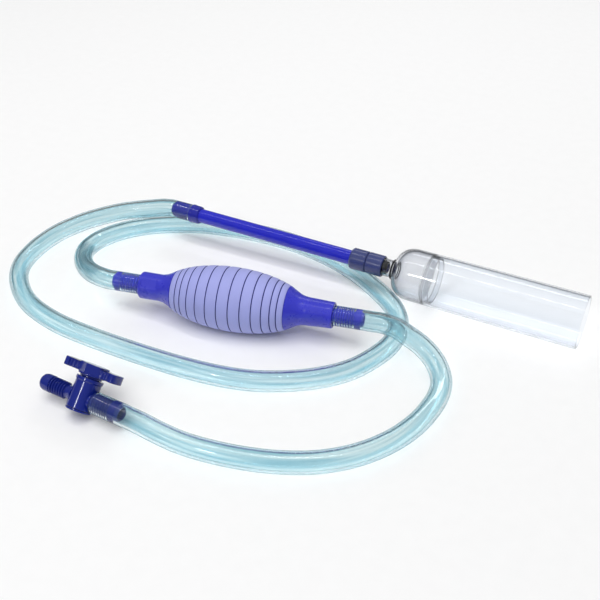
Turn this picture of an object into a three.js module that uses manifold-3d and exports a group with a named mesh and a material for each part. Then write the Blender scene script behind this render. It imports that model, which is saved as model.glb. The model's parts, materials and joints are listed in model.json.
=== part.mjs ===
// A gravel vacuum siphon for aquariums: a clear gravel tube on a wand, an intake hose, a squeeze
// bulb with a check valve at each end, a drain hose and a turn valve, all lying on a floor.
// Millimetres. X runs along the wand towards the mouth of the gravel tube, Z is up and the floor
// is z = 0. The origin is under the middle of everything except the two hoses.

import * as THREE from 'three';
import { mergeVertices } from 'three/addons/utils/BufferGeometryUtils.js';
import Module from 'manifold-3d';

const wasm = await Module();
wasm.setup();

// ---- Driving dimensions -------------------------------------------------------------------

const touchGap = 0.3; // left between pieces that meet
const coarse = 16; // sides on small round pieces
const fine = 28; // sides on large round pieces

const hose = {
  radius: 8.15, // across the corners of a ten-sided section, for a 16 mm round
  boreRadius: 6.1,
  wall: 1.9,
  cuffLength: 30, // the stretch that grips a barb
  cuffTaper: 5,
};

// Everything on the wand lies at a distance back from the mouth of the gravel tube.
const wand = {
  mouthX: 187.29,
  y: 115.15,
  tilt: THREE.MathUtils.degToRad(1.2),
  tubeRadius: 21.9,
  tubeWall: 1.5,
  tubeLength: 126,
  spigotLength: 4.5,
  shoulderStart: 140.5,
  shoulderEnd: 157.5,
  neckRadius: 7.5,
  neckEnd: 172.5,
  nutFront: 168,
  nutBack: 182.4,
  socketBack: 197.3,
  unionRadius: 9.2,
  noseRadius: 4.5,
  noseEnd: 164.2,
  pipeRadius: 6.3,
  pipeWall: 1.1,
  adapterFront: 346.5,
  adapterBack: 355,
  adapterEnd: 375,
  adapterBarbRadius: 6.05,
};

// Everything on the bulb lies at a distance along its axis from the end of the inlet neck.
const bulb = {
  inletNeck: new THREE.Vector3(-147.3, 1.75, 26),
  turn: THREE.MathUtils.degToRad(10.9),
  length: 161.4,
  radius: 26,
  middle: 78.5,
  halfSpan: 62.5,
  sleeveStart: 30,
  sleeveEnd: 124,
  sleeveThickness: 2,
  wall: 2.2,
  neckRadius: 11,
  neckBore: 8.8,
  inletNeckEnd: 18,
  outletNeckStart: 136.5,
  barbRadius: 6.3,
  barbLength: 24,
  plugLength: 12,
  boreRadius: 4.2,
  chamberRadius: 6.4,
  chamberLength: 7,
  discRadius: 5.7,
  discThickness: 1.2,
};

// The valve's own X runs along its barbs towards the drain hose, and its own Z along the stem.
const valve = {
  centre: new THREE.Vector3(-115, -123.45, 13.9),
  turn: THREE.MathUtils.degToRad(-4.5),
  roll: THREE.MathUtils.degToRad(-44),
  bodyRadius: 9.6,
  rimRadius: 10.2,
  rimHeight: 2.5,
  bottom: -10.1,
  top: 14.8,
  baseThickness: 1.5,
  outletEnd: -37.3,
  hoseEnd: 36,
  barbStart: 11.4, // where the drain hose stops against the body
  barbRadius: 6.5,
  boreRadius: 3.6,
  plugRadius: 6.3,
  plugBottom: -6.2,
  plugTop: 8,
  stemRadius: 3.6,
  knobBottom: 17.6,
  knobThickness: 6.4,
  knobHalfLength: 23.8,
};

// ---- Geometry helpers ---------------------------------------------------------------------

// Six times the volume that the triangles enclose, negative when they face inwards.
function signedVolume(geometry) {
  const position = geometry.attributes.position;
  const index = geometry.index;
  const corners = [new THREE.Vector3(), new THREE.Vector3(), new THREE.Vector3()];
  let total = 0;
  for (let start = 0; start < index.count; start += 3) {
    corners.forEach((corner, k) => corner.fromBufferAttribute(position, index.getX(start + k)));
    total += corners[0].dot(corners[1].cross(corners[2]));
  }
  return total;
}

// Keeps only positions, merges shared corners, drops flat triangles and faces the rest outwards.
function closedBody(geometry) {
  const bare = geometry.clone();
  bare.deleteAttribute('normal');
  bare.deleteAttribute('uv');
  const merged = mergeVertices(bare, 1e-4);
  const kept = [];
  for (let start = 0; start < merged.index.count; start += 3) {
    const [a, b, c] = [0, 1, 2].map((k) => merged.index.getX(start + k));
    if (a !== b && b !== c && c !== a) {
      kept.push(a, b, c);
    }
  }
  merged.setIndex(kept);
  if (signedVolume(merged) < 0) {
    for (let start = 0; start < kept.length; start += 3) {
      [kept[start + 1], kept[start + 2]] = [kept[start + 2], kept[start + 1]];
    }
    merged.setIndex(kept);
  }
  return merged;
}

function toSolid(geometry) {
  const body = closedBody(geometry);
  return new wasm.Manifold(new wasm.Mesh({
    numProp: 3,
    vertProperties: new Float32Array(body.attributes.position.array),
    triVerts: new Uint32Array(body.index.array),
  }));
}

function fromSolid(solid) {
  const mesh = solid.getMesh();
  const geometry = new THREE.BufferGeometry();
  geometry.setAttribute('position', new THREE.BufferAttribute(mesh.vertProperties, mesh.numProp));
  geometry.setIndex(new THREE.BufferAttribute(mesh.triVerts, 1));
  return geometry;
}

const joined = (...parts) => fromSolid(parts.map(toSolid).reduce((whole, part) => whole.add(part)));
const cut = (geometry, ...tools) => fromSolid(tools.map(toSolid)
  .reduce((whole, tool) => whole.subtract(tool), toSolid(geometry)));

// A turned piece about its own X: the profile is a list of [distance along X, radius].
function turned(profile, sides = coarse) {
  const points = profile.map(([along, radius]) => new THREE.Vector2(radius, along));
  return closedBody(new THREE.LatheGeometry(points, sides).rotateZ(-Math.PI / 2));
}

// A turned piece with a hole through it, whose profile closes on itself.
const turnedRing = (profile, sides) => turned([...profile, profile[0]], sides);

const plainRing = (start, end, inner, outer, sides) => turnedRing(
  [[start, inner], [end, inner], [end, outer], [start, outer]], sides);

const rod = (start, end, radius, sides) => turned(
  [[start, 0], [start, radius], [end, radius], [end, 0]], sides);

// Turns a piece made about X so that it stands on its own Z.
const upright = (geometry) => geometry.rotateY(-Math.PI / 2);

// Points of a quarter ellipse from [start, outer] to [end, inner], both ends included.
function quarterEllipse(start, end, outer, inner, steps) {
  return Array.from({ length: steps + 1 }, (_, k) => {
    const angle = (k / steps) * Math.PI / 2;
    return [start + (end - start) * Math.sin(angle), inner + (outer - inner) * Math.cos(angle)];
  });
}

// Saw-tooth ribs of a hose barb from one distance to another, sloping down away from the piece.
function barbRibs(start, end, count, crest, root) {
  const pitch = (end - start) / count;
  return Array.from({ length: count }, (_, k) => [
    [start + pitch * (k + 0.1), crest],
    [start + pitch * (k + 0.95), root],
  ]).flat();
}

function piece(name, geometry, colour, roughness, metalness = 0) {
  const material = new THREE.MeshStandardMaterial({ color: colour, roughness, metalness });
  const mesh = new THREE.Mesh(geometry, material);
  mesh.name = name;
  return mesh;
}

const colours = {
  clear: 0xdfe6ee,
  blackRubber: 0x15161a,
  slate: 0x454d78,
  royalBlue: 0x2323b8,
  bulbBlue: 0x3a38c8,
  lavender: 0xa0a4e0,
  valveBlue: 0x26308e,
  aqua: 0xa6d8e2,
  white: 0xf2f3f5,
};

// ---- Placing ------------------------------------------------------------------------------

const wandPlace = new THREE.Matrix4()
  .makeRotationY(wand.tilt)
  .setPosition(wand.mouthX, wand.y, wand.tubeRadius * Math.cos(wand.tilt));

const bulbPlace = new THREE.Matrix4()
  .makeRotationZ(bulb.turn)
  .setPosition(bulb.inletNeck);

const valvePlace = new THREE.Matrix4()
  .makeRotationFromEuler(new THREE.Euler(valve.roll, 0, valve.turn, 'ZYX'))
  .setPosition(valve.centre);

function placed(place, ...meshes) {
  const group = new THREE.Group();
  group.add(...meshes);
  group.applyMatrix4(place);
  return group;
}

// ---- Wand ---------------------------------------------------------------------------------

function gravelTube() {
  const { tubeRadius, tubeWall, tubeLength } = wand;
  const edge = 0.3; // small round on the mouth's edges
  const bore = tubeRadius - tubeWall;
  return turnedRing([
    [-tubeLength, bore],
    [-edge, bore],
    [0, bore + edge],
    [0, tubeRadius - edge],
    [-edge, tubeRadius],
    [-tubeLength, tubeRadius],
  ], fine);
}

// The clear cap: a spigot that the gravel tube pushes onto, a round shoulder and a neck.
function domeCap() {
  const { tubeRadius, tubeWall, tubeLength, shoulderStart, shoulderEnd, neckRadius } = wand;
  const spigotRadius = tubeRadius - tubeWall - touchGap;
  const spigotBore = spigotRadius - tubeWall;
  const seam = tubeLength + touchGap;
  const inside = tubeRadius - tubeWall;
  const neckBore = neckRadius - tubeWall;
  const ledge = seam + 1.6; // the strainer rests against the back of the spigot here
  const shoulderSteps = 5;
  return turnedRing([
    [-(tubeLength - wand.spigotLength), spigotBore],
    [-(tubeLength - wand.spigotLength), spigotRadius],
    [-seam, spigotRadius],
    [-seam, tubeRadius],
    ...quarterEllipse(-shoulderStart, -shoulderEnd, tubeRadius, neckRadius, shoulderSteps),
    [-wand.neckEnd, neckRadius],
    [-wand.neckEnd, neckBore],
    ...quarterEllipse(-shoulderStart, -shoulderEnd + tubeWall, inside, neckBore, shoulderSteps)
      .reverse(),
    [-ledge, inside],
    [-ledge, spigotBore],
  ], fine);
}

// A round plate with parallel slots that lets water through and keeps gravel out.
function gravelStrainer() {
  const radius = wand.tubeRadius - wand.tubeWall - touchGap;
  const slotWidth = 2.4;
  const slotPitch = 4.8;
  const slotCount = 7;
  const rimWidth = 2.6;
  const thickness = 1.6;
  const plate = new THREE.Shape().absarc(0, 0, radius, 0, Math.PI * 2, false);
  for (let k = 0; k < slotCount; k += 1) {
    const middle = (k - (slotCount - 1) / 2) * slotPitch;
    const far = Math.abs(middle) + slotWidth / 2;
    const reach = Math.sqrt((radius - rimWidth) ** 2 - far ** 2);
    plate.holes.push(new THREE.Path([
      new THREE.Vector2(-reach, middle - slotWidth / 2),
      new THREE.Vector2(reach, middle - slotWidth / 2),
      new THREE.Vector2(reach, middle + slotWidth / 2),
      new THREE.Vector2(-reach, middle + slotWidth / 2),
    ]));
  }
  const back = wand.tubeLength + 4;
  return closedBody(new THREE.ExtrudeGeometry(plate, {
    depth: thickness,
    bevelEnabled: false,
    curveSegments: 9,
  }).rotateY(Math.PI / 2).translate(-back, 0, 0));
}

function neckSealRing() {
  const inner = wand.neckRadius + touchGap;
  const outer = inner + 1;
  const front = wand.shoulderEnd + touchGap;
  const width = 2.2;
  const round = 0.4;
  return turnedRing([
    [-front, inner],
    [-front, outer - round],
    [-front - round, outer],
    [-front - width + round, outer],
    [-front - width, outer - round],
    [-front - width, inner],
  ]);
}

// The loose half of the union: it turns about the wand and grips the clear neck.
function unionNut() {
  const { nutFront, nutBack, unionRadius, neckRadius } = wand;
  const mouth = neckRadius + 0.4;
  const threadBore = neckRadius + 0.6;
  const lip = 4;
  const chamfer = 0.7;
  return turnedRing([
    [-nutFront, mouth],
    [-nutFront, unionRadius - chamfer],
    [-nutFront - chamfer, unionRadius],
    [-nutBack + chamfer, unionRadius],
    [-nutBack, unionRadius - chamfer],
    [-nutBack, threadBore],
    [-nutFront - lip, threadBore],
    [-nutFront - lip, mouth],
  ], 24);
}

// The fixed half of the union: a socket on the pipe, a thread inside the nut, and a spigot in the
// clear neck with a thinner nose that carries the seal.
function unionSocket() {
  const { nutBack, socketBack, unionRadius, neckRadius, neckEnd, pipeRadius } = wand;
  const front = nutBack + touchGap;
  const threadRadius = neckRadius + 0.2;
  const threadEnd = neckEnd + 1.5;
  const spigotRadius = neckRadius - wand.tubeWall - 0.4;
  const spigotEnd = 168.6;
  const bore = 3.8;
  const socketBore = pipeRadius + touchGap;
  const socketFloor = 185.7;
  const chamfer = 0.9;
  return turnedRing([
    [-socketBack, socketBore],
    [-socketBack, unionRadius - chamfer],
    [-socketBack + chamfer, unionRadius],
    [-front, unionRadius],
    [-front, threadRadius],
    [-threadEnd, threadRadius],
    [-threadEnd, spigotRadius],
    [-spigotEnd, spigotRadius],
    [-spigotEnd, wand.noseRadius],
    [-wand.noseEnd, wand.noseRadius],
    [-wand.noseEnd, bore],
    [-socketFloor, bore],
    [-socketFloor, socketBore],
  ], 24);
}

// The black seal on the spigot's nose, which shows through the clear neck.
function unionSeal() {
  const inner = wand.noseRadius + touchGap;
  const outer = wand.neckRadius - wand.tubeWall - touchGap;
  const front = wand.noseEnd + touchGap;
  const back = 168.3;
  const round = 0.6;
  return turnedRing([
    [-back, inner],
    [-back, outer],
    [-front - round, outer],
    [-front, outer - round],
    [-front, inner],
  ]);
}

function extensionTube() {
  const { socketBack, adapterBack, pipeRadius, pipeWall } = wand;
  const front = socketBack - 11.3;
  const back = adapterBack - 1.5;
  return plainRing(-back, -front, pipeRadius - pipeWall, pipeRadius, 24);
}

// A collar that cups the end of the extension tube, with a barb for the intake hose.
function hoseAdapter() {
  const { adapterFront, adapterBack, adapterEnd, adapterBarbRadius, pipeRadius } = wand;
  const collarRadius = 8;
  const cup = pipeRadius + touchGap;
  const bore = 4.5;
  const round = 1.2;
  const root = adapterBarbRadius - 0.7;
  return turnedRing([
    [-adapterFront, cup],
    [-adapterFront, collarRadius - round],
    [-adapterFront - round, collarRadius],
    [-adapterBack + round, collarRadius],
    [-adapterBack, collarRadius - round],
    [-adapterBack, root],
    ...barbRibs(-adapterBack - 2, -adapterEnd + 4, 3, root, adapterBarbRadius),
    [-adapterEnd + 2.5, adapterBarbRadius],
    [-adapterEnd, adapterBarbRadius - 1],
    [-adapterEnd, bore],
    [-adapterBack + 1.2, bore],
    [-adapterBack + 1.2, cup],
  ]);
}

// ---- Bulb ---------------------------------------------------------------------------------

// Outer radius of the bulb at a distance along its axis, less a depth below the surface.
function bulbRadiusAt(along, depth = 0) {
  const reach = (along - bulb.middle) / (bulb.halfSpan - depth);
  return (bulb.radius - depth) * Math.sqrt(Math.max(0, 1 - reach * reach));
}

function bulbArc(start, end, steps, depth) {
  return Array.from({ length: steps + 1 }, (_, k) => {
    const along = start + (end - start) * (k / steps);
    return [along, bulbRadiusAt(along, depth)];
  });
}

// The blown blue shell: a neck and cone at each end, and a waist that the sleeve sits in.
function bulbShell() {
  const { sleeveStart, sleeveEnd, sleeveThickness, wall, neckRadius, neckBore, length } = bulb;
  const seat = sleeveThickness + touchGap;
  const round = 1;
  const outletNeckTip = neckRadius - 0.7;
  const inletCone = 23;
  const outletCone = 132.5;
  return turnedRing([
    [0, neckBore],
    [0, neckRadius - round],
    [round, neckRadius],
    [bulb.inletNeckEnd, neckRadius],
    [inletCone - 2, neckRadius + 0.7],
    ...bulbArc(inletCone + 1, sleeveStart - touchGap, 1),
    ...bulbArc(sleeveStart - touchGap, sleeveEnd + touchGap, 9, seat),
    ...bulbArc(sleeveEnd + touchGap, outletCone, 2),
    [bulb.outletNeckStart, neckRadius + 0.3],
    [length - round, outletNeckTip],
    [length, outletNeckTip - round],
    [length, neckBore],
    [outletCone + 3, neckBore],
    ...bulbArc(sleeveEnd + 4, sleeveStart - 1, 8, seat + wall),
    [bulb.inletNeckEnd - 1, neckBore],
  ], fine);
}

// The soft sleeve that the hand squeezes.
function bulbSleeve() {
  const { sleeveStart, sleeveEnd, sleeveThickness } = bulb;
  return turnedRing([
    ...bulbArc(sleeveStart, sleeveEnd, 12, 0),
    ...bulbArc(sleeveEnd, sleeveStart, 9, sleeveThickness),
  ], fine);
}

// A barbed hose connector, made for the inlet end: barb towards -X, plug in the neck towards +X.
function bulbConnector() {
  const { barbRadius, barbLength, plugLength, boreRadius, chamberRadius, chamberLength } = bulb;
  const plugRadius = bulb.neckBore - touchGap;
  const root = barbRadius - 0.8;
  return turnedRing([
    [plugLength, chamberRadius],
    [plugLength, plugRadius],
    [touchGap, plugRadius],
    [touchGap, root],
    ...barbRibs(-1.5, -barbLength + 8, 4, root, barbRadius - 0.2),
    [-barbLength + 7, barbRadius],
    [-barbLength + 2.5, barbRadius],
    [-barbLength, barbRadius - 1.2],
    [-barbLength, boreRadius],
    [plugLength - chamberLength, boreRadius],
    [plugLength - chamberLength, chamberRadius],
  ]);
}

const atOutlet = (geometry) => geometry.rotateZ(Math.PI).translate(bulb.length, 0, 0);

const checkDisc = (start) => rod(start, start + bulb.discThickness, bulb.discRadius, 16);

// A spider of four spokes that keeps the inlet's disc in its chamber and lets water past.
function inletValveCage() {
  const radius = bulb.chamberRadius - touchGap;
  const hub = 1.6;
  const rim = radius - 1.2;
  const spoke = THREE.MathUtils.degToRad(14); // half the angle that a spoke takes at the rim
  const thickness = 2;
  const plate = new THREE.Shape().absarc(0, 0, radius, 0, Math.PI * 2, false);
  for (let k = 0; k < 4; k += 1) {
    const from = k * (Math.PI / 2) + spoke;
    const to = (k + 1) * (Math.PI / 2) - spoke;
    const window = new THREE.Path().absarc(0, 0, rim, from, to, false);
    const middle = (from + to) / 2;
    window.lineTo(hub * Math.cos(middle), hub * Math.sin(middle));
    window.closePath();
    plate.holes.push(window);
  }
  return closedBody(new THREE.ExtrudeGeometry(plate, {
    depth: thickness,
    bevelEnabled: false,
    curveSegments: 6,
  }).rotateY(Math.PI / 2).translate(bulb.plugLength - thickness - 0.5, 0, 0));
}

function outletValveSeat() {
  const front = bulb.length - bulb.plugLength + touchGap;
  return plainRing(front, front + 2, 3.2, bulb.chamberRadius - touchGap);
}

// ---- Valve --------------------------------------------------------------------------------

// Both hose barbs on one axis, as a solid rod that the bore is cut from later.
function valveBarbs() {
  const { outletEnd, hoseEnd, barbRadius, bodyRadius } = valve;
  const neck = barbRadius - 1.8;
  const rib = barbRadius - 0.3;
  const noseLength = 8;
  const mouth = barbRadius - 1.1;
  const side = (sign, end) => [
    [sign * (bodyRadius - 2), neck],
    [sign * (bodyRadius + 3), neck],
    ...barbRibs(sign * (bodyRadius + 4), end - sign * noseLength, 4, rib - 0.9, rib),
    [end - sign * (noseLength - 0.5), barbRadius],
    [end - sign * 2.5, barbRadius],
    [end, mouth],
    [end, 0],
  ];
  return turned([...side(-1, outletEnd).reverse(), ...side(1, hoseEnd)]);
}

function valveBody() {
  const { bodyRadius, rimRadius, rimHeight, bottom, top, baseThickness, plugRadius } = valve;
  const floor = bottom + baseThickness + touchGap;
  const barrel = upright(turned([
    [floor, 0],
    [floor, bodyRadius],
    [top - rimHeight, bodyRadius],
    [top - rimHeight + 0.6, rimRadius],
    [top, rimRadius],
    [top, 0],
  ], 28));
  const plugBore = upright(rod(valve.plugBottom - touchGap, top + 1, plugRadius + touchGap, 24));
  const past = 1;
  const bore = rod(valve.outletEnd - past, valve.hoseEnd + past, valve.boreRadius, 16);
  return cut(joined(barrel, valveBarbs()), plugBore, bore);
}

function valvePlug() {
  const { plugRadius, plugBottom, plugTop, stemRadius, knobBottom, boreRadius } = valve;
  const stemTop = knobBottom + 4;
  const spindle = upright(turned([
    [plugBottom, 0],
    [plugBottom, plugRadius],
    [plugTop, plugRadius],
    [plugTop, stemRadius],
    [stemTop, stemRadius],
    [stemTop, 0],
  ], 24));
  return cut(spindle, rod(-plugRadius - 1, plugRadius + 1, boreRadius, 16));
}

function valveStemORing() {
  const bottom = valve.plugTop + touchGap;
  return upright(plainRing(bottom, bottom + 2, valve.stemRadius + touchGap, valve.plugRadius));
}

// The bonnet closes the plug's bore and carries the stem.
function valveBonnet() {
  const { plugTop, plugRadius, stemRadius, top } = valve;
  const bottom = plugTop + 2.6;
  const flange = 8.2;
  const bore = stemRadius + touchGap;
  return upright(turnedRing([
    [bottom, bore],
    [bottom, plugRadius],
    [top + touchGap, plugRadius],
    [top + touchGap, flange],
    [top + 1.4, flange],
    [top + 1.4, bore],
  ]));
}

function valveBaseCap() {
  const { bottom, baseThickness, bodyRadius } = valve;
  const chamfer = 0.4;
  return upright(turned([
    [bottom, 0],
    [bottom, bodyRadius - chamfer],
    [bottom + chamfer, bodyRadius],
    [bottom + baseThickness, bodyRadius],
    [bottom + baseThickness, 0],
  ], 28));
}

// A two-winged knob with a hexagonal boss, corners to the sides, and a thin skirt under it.
function valveKnob() {
  const { knobBottom, knobThickness, knobHalfLength, stemRadius } = valve;
  const rootHalfWidth = 5.4;
  const tipHalfWidth = 7;
  const waist = 10;
  const bossRadius = 11;
  const tipStart = knobHalfLength - 3;
  const outline = new THREE.Shape();
  outline.moveTo(-waist, -rootHalfWidth);
  outline.lineTo(waist, -rootHalfWidth);
  outline.lineTo(tipStart, -tipHalfWidth);
  outline.quadraticCurveTo(knobHalfLength, -tipHalfWidth / 2, knobHalfLength, 0);
  outline.quadraticCurveTo(knobHalfLength, tipHalfWidth / 2, tipStart, tipHalfWidth);
  outline.lineTo(waist, rootHalfWidth);
  outline.lineTo(-waist, rootHalfWidth);
  outline.lineTo(-tipStart, tipHalfWidth);
  outline.quadraticCurveTo(-knobHalfLength, tipHalfWidth / 2, -knobHalfLength, 0);
  outline.quadraticCurveTo(-knobHalfLength, -tipHalfWidth / 2, -tipStart, -tipHalfWidth);
  outline.closePath();
  const wings = new THREE.ExtrudeGeometry(outline, {
    depth: knobThickness,
    bevelEnabled: false,
    curveSegments: 3,
  }).translate(0, 0, knobBottom);
  const hexagon = new THREE.Shape();
  for (let corner = 0; corner < 6; corner += 1) {
    const angle = Math.PI / 2 + (corner * Math.PI) / 3;
    const step = corner === 0 ? 'moveTo' : 'lineTo';
    hexagon[step](bossRadius * Math.cos(angle), bossRadius * Math.sin(angle));
  }
  hexagon.closePath();
  const boss = new THREE.ExtrudeGeometry(hexagon, {
    depth: knobThickness + 0.9,
    bevelEnabled: false,
  }).translate(0, 0, knobBottom);
  const skirt = upright(turned([
    [knobBottom - 1.1, 0],
    [knobBottom - 1.1, 10],
    [knobBottom + 0.1, 10],
    [knobBottom + 0.1, 0],
  ], 24));
  const socket = upright(rod(knobBottom - 2, knobBottom + 4 + touchGap, stemRadius + touchGap));
  return cut(joined(joined(wings, boss), skirt), socket);
}

// ---- Hoses --------------------------------------------------------------------------------

// Each route is the hose's centre line from where it leaves one barb's grip to the next.
const intakeRoute = [
  [-190.8, 115.1, 29.6], [-200.2, 114.1, 27.9], [-212.6, 111.3, 25.2], [-225.4, 106.6, 23],
  [-237.8, 99.9, 21], [-260.3, 83.3, 15.9], [-270.4, 72.4, 12.9], [-278.2, 58.6, 10.5],
  [-281.6, 41.9, 9], [-281.2, 24.5, 8.4], [-275.4, 2.3, 8.3], [-262.5, -17.4, 8.3],
  [-234.5, -39.7, 8.3], [-200, -51.7, 8.3], [-160, -56.2, 8.3], [-70, -56.2, 8.3],
  [-27.5, -49.8, 8.3], [0, -38.7, 8.3], [24.2, -22.2, 8.3], [40.6, -4.4, 8.3],
  [51.6, 18.2, 8.3], [56.8, 40.6, 8.3], [54.6, 61.6, 8.3], [46.6, 78.6, 8.3],
  [34.5, 91.8, 8.3], [0, 115.8, 8.3], [-27, 128.6, 8.3], [-62.3, 138.4, 8.3],
  [-99, 141.6, 8.3], [-139, 138.4, 8.3], [-176, 129, 8.3], [-212.6, 108, 8.3],
  [-231.2, 86.5, 8.4], [-238.8, 66, 9], [-237, 46.5, 11.2], [-227.5, 28.5, 15.4],
  [-213.5, 12.5, 20.2], [-200, 2, 23.9], [-188.2, -3, 25.8], [-176.1, -3.9, 26],
];

const drainRoute = [
  [40.3, 37.8, 26], [50, 39.5, 26], [60.5, 39, 25.6], [71.4, 36.5, 23.4],
  [82.6, 34.9, 19.3], [93.4, 30.6, 14.6], [102, 23, 10.8], [107.9, 12.2, 8.9],
  [110.6, -1.4, 8.3], [110.2, -19.4, 8.3], [106.6, -39.4, 8.3], [98, -61.4, 8.3],
  [83, -83.4, 8.3], [62.5, -101.4, 8.3], [38.7, -113.6, 8.3], [12.5, -121.6, 8.3],
  [-14, -126, 8.3], [-32, -127.3, 8.8], [-49, -127.7, 11], [-63.5, -127.5, 13.5],
  [-74.4, -126.7, 13.9],
];

// The stretched end of a hose that grips a barb: it starts at x = 0 and runs towards +X.
function hoseCuff(barbRadius) {
  const { cuffLength, cuffTaper, wall, radius, boreRadius } = hose;
  const inner = barbRadius + touchGap;
  return turnedRing([
    [0, inner],
    [0, inner + wall],
    [cuffLength - cuffTaper, inner + wall],
    [cuffLength, radius],
    [cuffLength, boreRadius],
    [cuffLength - cuffTaper, inner],
  ], 16);
}

// Puts a cuff on a barb: the hose stops at a distance along the fitting's X and leaves along it.
function cuffAt(place, stop, leavesForwards, barbRadius) {
  const cuff = hoseCuff(barbRadius);
  if (!leavesForwards) {
    cuff.rotateZ(Math.PI);
  }
  return cuff.translate(stop, 0, 0).applyMatrix4(place);
}

function hoseBody(route, steps, ...cuffs) {
  const points = route.map(([x, y, z]) => new THREE.Vector3(x, y, z));
  const section = new THREE.Shape().absarc(0, 0, hose.radius, 0, Math.PI * 2, false);
  section.holes.push(new THREE.Path().absarc(0, 0, hose.boreRadius, 0, Math.PI * 2, true));
  const run = new THREE.ExtrudeGeometry(section, {
    steps,
    curveSegments: 5,
    extrudePath: new THREE.CatmullRomCurve3(points, false, 'centripetal'),
  });
  return joined(run, ...cuffs);
}

// ---- Assembly -----------------------------------------------------------------------------

const siphon = new THREE.Group();

siphon.add(placed(
  wandPlace,
  piece('gravel_tube', gravelTube(), colours.clear, 0.05),
  piece('dome_cap', domeCap(), colours.clear, 0.05),
  piece('gravel_strainer', gravelStrainer(), colours.clear, 0.3),
  piece('neck_seal_ring', neckSealRing(), colours.blackRubber, 0.6),
  piece('union_nut', unionNut(), colours.slate, 0.35),
  piece('union_socket', unionSocket(), colours.slate, 0.35),
  piece('union_seal', unionSeal(), colours.blackRubber, 0.6),
  piece('extension_tube', extensionTube(), colours.royalBlue, 0.15),
  piece('hose_adapter', hoseAdapter(), colours.royalBlue, 0.2),
));

const openGap = touchGap; // a disc rests this far off its seat
const inletSeat = bulb.plugLength - bulb.chamberLength;
const outletSeat = bulb.length - bulb.plugLength + 2 * touchGap + 2;

siphon.add(placed(
  bulbPlace,
  piece('bulb_shell', bulbShell(), colours.bulbBlue, 0.35),
  piece('bulb_sleeve', bulbSleeve(), colours.lavender, 0.5),
  piece('inlet_connector', bulbConnector(), colours.bulbBlue, 0.3),
  piece('inlet_check_disc', checkDisc(inletSeat + openGap), colours.white, 0.5),
  piece('inlet_valve_cage', inletValveCage(), colours.white, 0.5),
  piece('outlet_connector', atOutlet(bulbConnector()), colours.bulbBlue, 0.3),
  piece('outlet_check_disc', checkDisc(outletSeat), colours.white, 0.5),
  piece('outlet_valve_seat', outletValveSeat(), colours.white, 0.5),
));

siphon.add(placed(
  valvePlace,
  piece('valve_body', valveBody(), colours.valveBlue, 0.3),
  piece('valve_plug', valvePlug(), colours.valveBlue, 0.3),
  piece('valve_stem_o_ring', valveStemORing(), colours.blackRubber, 0.6),
  piece('valve_bonnet', valveBonnet(), colours.valveBlue, 0.3),
  piece('valve_base_cap', valveBaseCap(), colours.valveBlue, 0.3),
  piece('valve_knob', valveKnob(), colours.valveBlue, 0.3),
));

const intakeSteps = 42;
const drainSteps = 17;

siphon.add(piece('intake_hose', hoseBody(
  intakeRoute,
  intakeSteps,
  cuffAt(wandPlace, -wand.adapterBack - touchGap, false, wand.adapterBarbRadius),
  cuffAt(bulbPlace, -touchGap, false, bulb.barbRadius),
), colours.aqua, 0.15));

siphon.add(piece('drain_hose', hoseBody(
  drainRoute,
  drainSteps,
  cuffAt(bulbPlace, bulb.length + touchGap, true, bulb.barbRadius),
  cuffAt(valvePlace, valve.barbStart, true, valve.barbRadius),
), colours.aqua, 0.15));

export default siphon;
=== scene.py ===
"""Gravel vacuum siphon: surfaces, materials, floor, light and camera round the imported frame."""
import json
import math

import bmesh
import bpy
from mathutils import Matrix, Vector


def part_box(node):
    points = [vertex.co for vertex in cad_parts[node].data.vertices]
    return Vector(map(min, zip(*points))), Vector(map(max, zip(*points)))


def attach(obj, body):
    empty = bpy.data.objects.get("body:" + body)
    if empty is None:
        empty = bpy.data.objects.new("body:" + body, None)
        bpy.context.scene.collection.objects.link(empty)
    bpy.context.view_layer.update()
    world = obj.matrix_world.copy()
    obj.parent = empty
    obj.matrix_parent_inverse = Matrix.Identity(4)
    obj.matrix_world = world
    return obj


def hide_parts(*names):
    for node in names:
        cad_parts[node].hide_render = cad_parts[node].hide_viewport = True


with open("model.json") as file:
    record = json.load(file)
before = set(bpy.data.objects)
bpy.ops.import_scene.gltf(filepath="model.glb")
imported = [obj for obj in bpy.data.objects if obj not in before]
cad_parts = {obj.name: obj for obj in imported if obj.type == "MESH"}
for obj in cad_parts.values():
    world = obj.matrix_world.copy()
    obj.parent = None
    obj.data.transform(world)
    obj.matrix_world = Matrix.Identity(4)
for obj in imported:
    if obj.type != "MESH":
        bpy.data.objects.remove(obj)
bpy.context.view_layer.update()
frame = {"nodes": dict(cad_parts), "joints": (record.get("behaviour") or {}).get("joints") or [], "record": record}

MM = 0.001
scene = bpy.context.scene
joints = {joint["name"]: joint for joint in frame["joints"]}
mounts = {mount["name"]: mount for mount in frame["record"]["mounts"]}


# ---- Camera ----------------------------------------------------------------------------------

def look_from(place, target):
    """The turn of an object at place that makes its own -Z point at target, with Y up."""
    return (target - place).to_track_quat("-Z", "Y").to_euler()


def direction(azimuth, elevation):
    """A unit vector away from the object. Azimuth 0 is towards -Y, and both are in radians."""
    flat = math.cos(elevation)
    return Vector((math.sin(azimuth) * flat, -math.cos(azimuth) * flat, math.sin(elevation)))


def add_camera():
    back = direction(math.radians(26.3), math.radians(35))
    distance = 0.812
    target = Vector((-0.0384, 0.07265, 0))
    data = bpy.data.cameras.new("camera")
    data.lens = 57.6
    data.sensor_width = 36
    data.clip_end = 20
    camera = bpy.data.objects.new("camera", data)
    camera.location = target + back * distance
    camera.rotation_euler = look_from(camera.location, target)
    scene.collection.objects.link(camera)
    scene.camera = camera


add_camera()


# ---- Places ----------------------------------------------------------------------------------

def centre(node):
    low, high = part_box(node)
    return (low + high) / 2


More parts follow.
